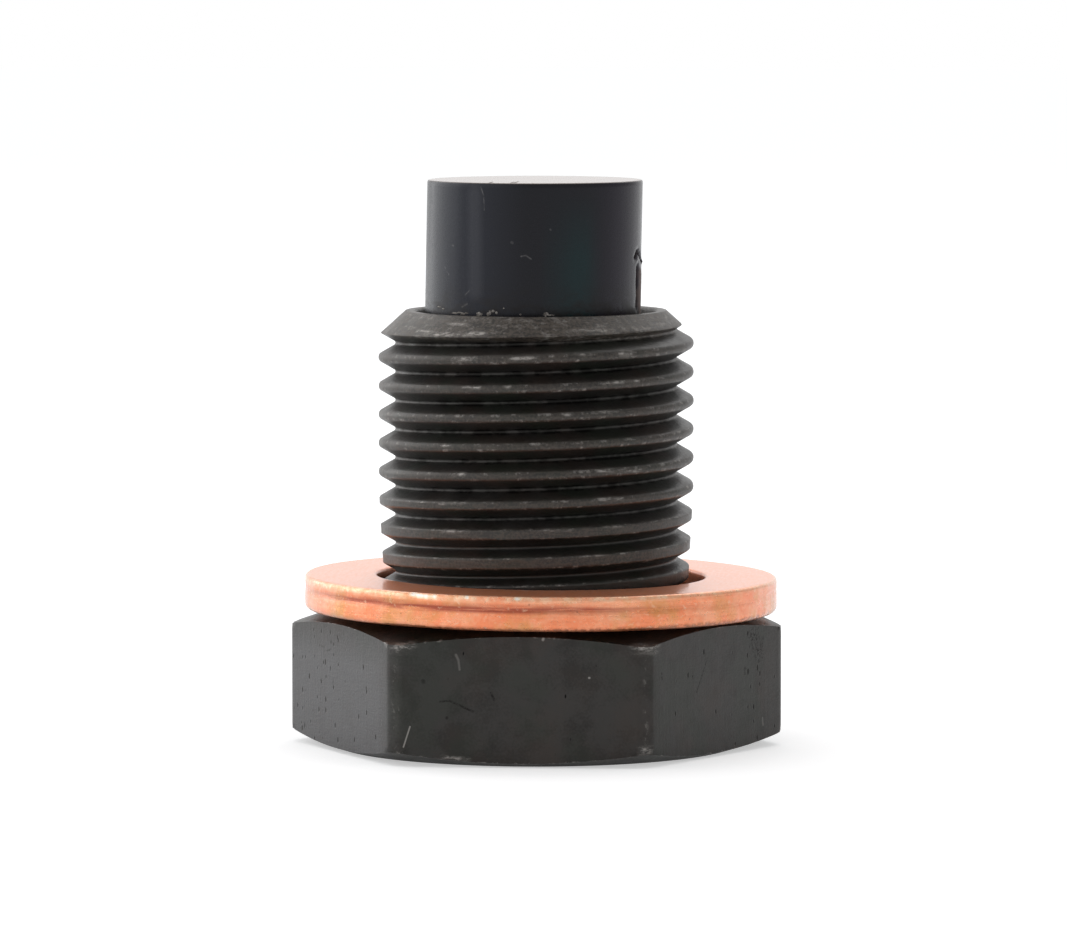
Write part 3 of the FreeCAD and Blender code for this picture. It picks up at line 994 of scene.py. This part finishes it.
def dent_rim(vert, ding_glint, rim, sheared):
    """Presses the shear line, waves, nicks and dings into one point of the washer's rim, and stores where the
    dings get a painted highlight.
    """
    angle = math.degrees(math.atan2(vert.co.y, vert.co.x))
    radius = radius_of(vert)
    height = vert.co.z
    outer = min(max((radius - WASHER_OUTER + 0.5) / 0.4, 0), 1)
    line = SHEAR_HEIGHT + 0.08 * noise.noise(vert.co * 0.3)
    strength = 0.35 + 0.65 * hump(angle + 110, 48)
    shear = strength * hump(height - line, 0.12)
    inwards = SHEAR_DEPTH * shear
    inwards += 0.09 * max(0, noise.noise(vert.co * 1.7) - 0.2) * hump(height, 0.3)
    vert[rim] = min(max((radius - WASHER_OUTER + 0.2) / 0.15, 0), 1)
    vert[sheared] = min(outer * shear * 2.2 * hump(angle + 106, 46), 1)
    inwards += 0.012 * (1 + noise.noise(vert.co * 0.8)) + 0.014 * (1 + noise.noise(vert.co * 2.7))
    for ding_angle, ding_height, size in DINGS_WITH_GLINTS:
        along = math.radians(angle - ding_angle) * WASHER_OUTER
        press = hump(along, size) * hump(height - ding_height, 0.06)
        inwards += 0.03 * press
        vert[ding_glint] = max(vert[ding_glint], min(press * 1.6 * outer, 1))
    share = 1 - outer * inwards / radius
    vert.co.x *= share
    vert.co.y *= share
    vert.co.z += 0.006 * noise.noise(Vector((vert.co.x, vert.co.y, 9)) * 0.5)


def make_washer():
    """The stamped copper ring, in its place on the head."""
    bm = bmesh.new()
    corners, edges = outline(bm, (
        (WASHER_INNER, 0),
        (WASHER_OUTER, 0),
        (WASHER_OUTER, WASHER_THICKNESS),
        (WASHER_INNER, WASHER_THICKNESS),
    ))
    bm.edges.new((corners[3], corners[0]))
    round_corners(bm, [corners[0], corners[3]], 0.12, 3)
    round_corners(bm, [corners[1]], 0.24, 6)
    round_corners(bm, [corners[2]], 0.17, 5)
    divide(bm, 0.13)
    spin(bm, 480)
    ding_glint = bm.verts.layers.float.new("ding_glint")
    rim = bm.verts.layers.float.new("rim")
    sheared = bm.verts.layers.float.new("sheared")
    for vert in bm.verts:
        dent_rim(vert, ding_glint, rim, sheared)
    bmesh.ops.rotate(bm, verts=bm.verts, cent=(0, 0, 0), matrix=Matrix.Rotation(WASHER_TILT, 3, "Y"))
    bmesh.ops.translate(bm, verts=bm.verts, vec=WASHER_FOOT)
    return finish_piece(bm, "washer", [copper_finish])


washer_piece = make_washer()
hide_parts("sealing_washer")

# %% [markdown]
# ## Magnet finish
#
# The rod is a sintered magnet with a smooth, nearly black coat that has a cold blue tone. Its end is ground
# bare, and it is seen at so low an angle that it mirrors the white backdrop. The few scratches in the
# photo are drawn one by one, because a random pattern would put them elsewhere.

# %% Magnet material
MAGNET_BLUE = (0.0120, 0.0128, 0.0200)
MAGNET_GREY = (0.0074, 0.0066, 0.0092)
MAGNET_TEAL = (0.0030, 0.0165, 0.0180)
MAGNET_PURPLE = (0.0120, 0.0080, 0.0150)
GROUND_END = (0.52, 0.43, 0.37)
GRIME_BROWN = (0.010, 0.0065, 0.005)
CRACK_BROWN = (0.014, 0.007, 0.004)
FLAKE_PINK = (0.24, 0.19, 0.175)
PAINTED_HIGHLIGHT_GREY = (0.2, 0.2, 0.22)
DUST_GREY = (0.25, 0.24, 0.24)
PAINTED_HIGHLIGHT_STREAK = ((-2.36, -4.12, 24.2), (-2.3, -4.12, 20.0), 0.5)
MAGNET_SCRATCHES = (
    ((-2.06, -4.24, 24.50), (-1.94, -4.30, 24.12), 0.035),
    ((-1.94, -4.30, 24.12), (-1.91, -4.32, 23.51), 0.03),
    ((-3.75, -2.97, 21.03), (-3.53, -3.23, 20.66), 0.035),
    ((-0.30, -4.69, 21.54), (-0.08, -4.69, 21.58), 0.045),
    ((-0.08, -4.69, 21.58), (0.13, -4.69, 21.43), 0.045),
    ((-2.78, -3.88, 19.83), (-2.56, -4.02, 20.05), 0.04),
    ((-2.92, -3.79, 19.31), (-2.69, -3.95, 19.45), 0.05),
    ((-3.36, -3.37, 21.95), (-3.32, -3.41, 21.93), 0.06),
    ((-0.71, -4.66, 22.14), (-0.67, -4.66, 22.12), 0.07),
    ((0.95, -4.58, 22.70), (0.97, -4.58, 22.68), 0.05),
)
END_MARKS = (
    ((-1.68, -4.30, 24.68), (-1.64, -3.3, 24.68), 0.09),
    ((-0.76, -4.50, 24.68), (-0.73, -3.1, 24.68), 0.07),
    ((-0.62, -4.50, 24.68), (-0.57, -2.6, 24.68), 0.08),
)


def magnet_coat():
    """Smooth blue-black coat with painted reflection bands, a painted highlight streak, dust specks, the
    photo's scratches and a ground end.
    """
    material, tree, surface = new_material("magnet_coat")
    place = millimetres(tree)
    way = add(tree, "SeparateXYZ", {0: place}).outputs
    crack = attribute(tree, "crack")
    flake = attribute(tree, "flake")
    ground = attribute(tree, "ground")
    fine = cloud(tree, place, 6, 3)
    # Painted reflections: upright bands across the view, bluer at the left, greyer in the middle, teal and
    # then purple at the right.
    across = plus(tree, way["X"], times(tree, cloud(tree, millimetres(tree, (1, 1, 0.3)), 0.5, 3), 0.8))
    painted_reflection_bands = blend(tree, spread(tree, across, -2.2, 0.3), MAGNET_BLUE, MAGNET_GREY)
    lowered = spread(tree, way["Z"], 24.2, 21.5)
    painted_teal_band = times(tree, spread(tree, across, 1.0, 2.3), spread(tree, across, 3.6, 2.8), lowered)
    grime = spread(tree, cloud(tree, millimetres(tree, (1, 1, 2), (3, 1, 6)), 0.9, 5, 0.7), 0.42, 0.62)
    foot = times(tree, spread(tree, way["Z"], 20.4, 19.1), grime)
    scratch = times(tree, strokes(tree, place, MAGNET_SCRATCHES), spread(tree, fine, 0.3, 0.6), 0.4)
    ticks = times(tree, strokes(tree, place, END_MARKS), ground, 0.95, spread(tree, fine, 0.35, 0.55, 0.3, 1))
    colour = layered(
        tree, painted_reflection_bands,
        (painted_teal_band, MAGNET_TEAL),
        (spread(tree, across, 3.0, 4.2), MAGNET_PURPLE),
        (foot, GRIME_BROWN),
        # A painted highlight: a soft grey upright streak down the front-left of the magnet.
        (times(tree, stroke(tree, place, *PAINTED_HIGHLIGHT_STREAK), 0.12), PAINTED_HIGHLIGHT_GREY),
        (times(tree, specks(tree, place, 1.3, 0.05, 0.25), 0.2), DUST_GREY),
        (scratch, DUST_GREY),
        (ground, GROUND_END),
        (ticks, PIT_AND_SHADE_BLACK),
        (flake, FLAKE_PINK),
        (crack, CRACK_BROWN))

    rough = spread(tree, plus(tree, fine, drawn_out(tree, (4, 4, 0.25))), 0.7, 1.3, 0.2, 0.3)
    rough = mix(tree, ground, rough, 0.2)
    rough = maths(tree, "ADD", rough, times(tree, most(tree, crack, flake, ticks), 0.7), clamp=True)
    rough = maths(tree, "ADD", rough, times(tree, foot, 0.15), clamp=True)
    metal = most(tree, times(tree, ground, 0.5), times(tree, crack, 0.9))
    surface.inputs["Specular IOR Level"].default_value = 0.28
    surface.inputs["Specular Tint"].default_value = (0.9, 0.94, 1, 1)
    bump = bumpy(tree, fine, 0.12, 0.02)
    wire(tree, surface, Base_Color=colour, Roughness=rough, Metallic=metal, Normal=bump)
    return material


magnet_finish = magnet_coat()

# %% [markdown]
# ## The magnet
#
# A rod with broken rims, spun from an outline. It was glued in slightly out of true: its ends are level but
# its side leans towards +X, so each ring of points is slid sideways in step with its height. At the right a
# crack runs down to the bore and a thin flake beside it has lifted.

# %% Magnet
MAGNET_RADIUS = 4.695
MAGNET_FOOT = 11.98
MAGNET_LENGTH = 12.7
MAGNET_OFFSET = -0.3
MAGNET_LEAN = math.tan(math.radians(1.15))
CRACK_ANGLE = -10.2
CRACK_TOP = 21.63
FLAKE_ANGLE = -2.5
FLAKE_TOP = 21.1


def magnet_axis(height):
    """Distance of the magnet's middle from the plug's axis at a height."""
    return MAGNET_OFFSET + MAGNET_LEAN * (height - MAGNET_FOOT)


def ramp(value, low, high):
    """Climbs from 0 at low to 1 at high."""
    return min(max((value - low) / (high - low), 0), 1)


def mark_side(vert, crack, flake, ground):
    """Opens the crack, lifts the flake beside it and marks the ground end, at one point of the magnet."""
    radius = radius_of(vert)
    height = vert.co.z
    vert[ground] = ramp(height, MAGNET_FOOT + MAGNET_LENGTH - 0.02, MAGNET_FOOT + MAGNET_LENGTH)
    if radius < MAGNET_RADIUS - 0.2:
        return
    angle = math.degrees(math.atan2(vert.co.y, vert.co.x))
    waver = 1.2 * noise.noise(Vector((0, 0, height * 1.7)))
    below = CRACK_TOP - height
    near_top = ramp(below, -0.08, 0.02)
    line = hump(angle - CRACK_ANGLE - waver, 2.1) * ramp(below, 0.5, 0.8) * ramp(height, 18.9, 19.5)
    left_leg = hump(angle - CRACK_ANGLE + 1.4 + 12 * below, 2.2) * near_top * ramp(below, 0.42, 0.3)
    right_leg = hump(angle - CRACK_ANGLE + 1.4 - 26 * below, 2.6) * near_top * ramp(below, 0.66, 0.52)
    rim = FLAKE_TOP - 0.22 * (1 + noise.noise(Vector((angle * 0.25, 0, 3))))
    ragged = angle + 2.2 * noise.noise(Vector((5, 0, height * 2.3))) + noise.noise(Vector((9, 0, height * 6)))
    bead = hump(angle - 5, 5) * hump(height - FLAKE_TOP, 0.1)
    outline_of_flake = hump(ragged - 5.5, 2.0) * ramp(height, 20.0, 20.4) * ramp(rim - height, -0.1, 0)
    strip = ramp(ragged, -8.6, -6) * ramp(ragged, 4.6, 2.2) * ramp(rim - height, 0, 0.2)
    vert[crack] = min(max(line, left_leg, right_leg, bead, outline_of_flake * 0.45), 1)
    vert[flake] = strip * (0.75 + 0.25 * noise.noise(vert.co * 4))
    lift = 0.085 * bead + 0.03 * strip + 0.02 * outline_of_flake
    share = 1 + (lift - 0.2 * line - 0.13 * max(left_leg, right_leg)) / radius
    vert.co.x *= share
    vert.co.y *= share


def make_magnet():
    """The rod, spun, cracked and leant."""
    bm = bmesh.new()
    corners, edges = outline(bm, (
        (0, MAGNET_FOOT),
        (MAGNET_RADIUS, MAGNET_FOOT),
        (MAGNET_RADIUS, MAGNET_FOOT + MAGNET_LENGTH),
        (0, MAGNET_FOOT + MAGNET_LENGTH),
    ))
    round_corners(bm, corners[1:3], 0.1, 3)
    divide(bm, 0.13)
    spin(bm, 360)
    crack = bm.verts.layers.float.new("crack")
    flake = bm.verts.layers.float.new("flake")
    ground = bm.verts.layers.float.new("ground")
    for vert in bm.verts:
        mark_side(vert, crack, flake, ground)
    for vert in bm.verts:
        vert.co.x += magnet_axis(vert.co.z)
    return finish_piece(bm, "magnet_rod", [magnet_finish])


magnet_piece = make_magnet()
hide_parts("magnet")

# %% [markdown]
# ## The resin and its smears
#
# Liquid resin creeps up both walls before it sets, so its surface is a shallow trough. It is an outline with
# a curved top, spun round the axis, and its inner wall is slid with the leaning magnet. Pale crumbs
# of it are smeared on the foot of the magnet: small balls, roughened, pressed flat and set into the side.

# %% Resin material
RESIN_BLACK = (0.012, 0.008, 0.006)
RESIN_BROWN = (0.045, 0.028, 0.02)
CRUMB_GREY = (0.12, 0.105, 0.095)
CRUMB_PALE = (0.42, 0.39, 0.36)


def dark_resin():
    """Cured brown-black resin, glossy where it is smooth."""
    material, tree, surface = new_material("dark_resin")
    place = millimetres(tree)
    patches = cloud(tree, place, 1.4, 4)
    colour = blend(tree, spread(tree, patches, 0.35, 0.65), RESIN_BLACK, RESIN_BROWN)
    rough = spread(tree, cloud(tree, place, 5, 3), 0.3, 0.7, 0.25, 0.5)
    wire(tree, surface, Base_Color=colour, Roughness=rough, Normal=bumpy(tree, patches, 0.4, 0.05))
    return material


def pale_crumbs():
    """Dry crumbs of resin with ground dust in them."""
    material, tree, surface = new_material("pale_crumbs")
    place = millimetres(tree)
    tone = spread(tree, cloud(tree, place, 6, 3), 0.35, 0.65)
    surface.inputs["Roughness"].default_value = 0.7
    bump = bumpy(tree, cloud(tree, place, 14, 3), 0.6, 0.02)
    wire(tree, surface, Base_Color=blend(tree, tone, CRUMB_GREY, CRUMB_PALE), Normal=bump)
    return material


resin_finish = dark_resin()
crumb_finish = pale_crumbs()

# %% Resin
RESIN_TOP = 18.38
CRUMBS = (
    (-145, 19.25, 0.14, 0.025), (-141, 19.18, 0.10, 0.03), (-131, 19.03, 0.20, 0.035),
    (-128, 19.06, 0.14, 0.03), (-125.5, 19.02, 0.13, 0.05), (-123, 19.05, 0.10, 0.03),
    (-115.3, 19.03, 0.11, 0.08), (-113.8, 19.02, 0.06, 0.06), (-109.6, 19.04, 0.06, 0.09),
    (-108.6, 19.12, 0.05, 0.09), (-107.0, 19.17, 0.07, 0.05), (-105.0, 19.10, 0.04, 0.06),
    (-101, 19.30, 0.03, 0.03), (-92, 19.04, 0.05, 0.03), (-78.7, 19.04, 0.10, 0.08),
    (-75.8, 19.01, 0.12, 0.035),
)


def add_crumb(bm, angle, height, length, thickness):
    """Smears one flat crumb on the side of the magnet."""
    made = bmesh.ops.create_icosphere(bm, subdivisions=3, radius=1)["verts"]
    for vert in made:
        rough = 1 + 0.9 * noise.noise(vert.co * 2.3 + Vector((angle, 0, 0)))
        vert.co = (vert.co.x * 0.022, vert.co.y * length * rough, vert.co.z * thickness * rough)
    turn = math.radians(angle)
    bmesh.ops.rotate(bm, verts=made, cent=(0, 0, 0), matrix=Matrix.Rotation(turn, 3, "Z"))
    across = magnet_axis(height)
    place = (across + MAGNET_RADIUS * math.cos(turn), MAGNET_RADIUS * math.sin(turn), height)
    bmesh.ops.translate(bm, verts=made, vec=place)
    for face in {face for vert in made for face in vert.link_faces}:
        face.material_index = 1


def make_resin():
    """The ring of cured resin in the bore, with the crumbs that it left on the magnet."""
    bm = bmesh.new()
    outline(bm, (
        (0, BORE_FLOOR),
        (BORE_RADIUS, BORE_FLOOR),
        (BORE_RADIUS, RESIN_TOP + 0.1),
        (BORE_RADIUS - 0.06, RESIN_TOP + 0.02),
        (BORE_RADIUS - 0.2, RESIN_TOP - 0.04),
        (MAGNET_RADIUS + 0.12, RESIN_TOP - 0.02),
        (MAGNET_RADIUS + 0.03, RESIN_TOP + 0.08),
        (MAGNET_RADIUS, RESIN_TOP + 0.2),
        (MAGNET_RADIUS, MAGNET_FOOT),
        (0, MAGNET_FOOT),
    ))
    divide(bm, 2)
    spin(bm, 192)
    for vert in bm.verts:
        inwards = (BORE_RADIUS - radius_of(vert)) / (BORE_RADIUS - MAGNET_RADIUS)
        if vert.co.z > MAGNET_FOOT - 0.01:
            vert.co.x += magnet_axis(vert.co.z) * min(max(inwards, 0), 1)
    for angle, height, length, thickness in CRUMBS:
        add_crumb(bm, angle, height, length, thickness)
    return finish_piece(bm, "resin", [resin_finish, crumb_finish])


resin_piece = make_resin()
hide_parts("magnet_adhesive")
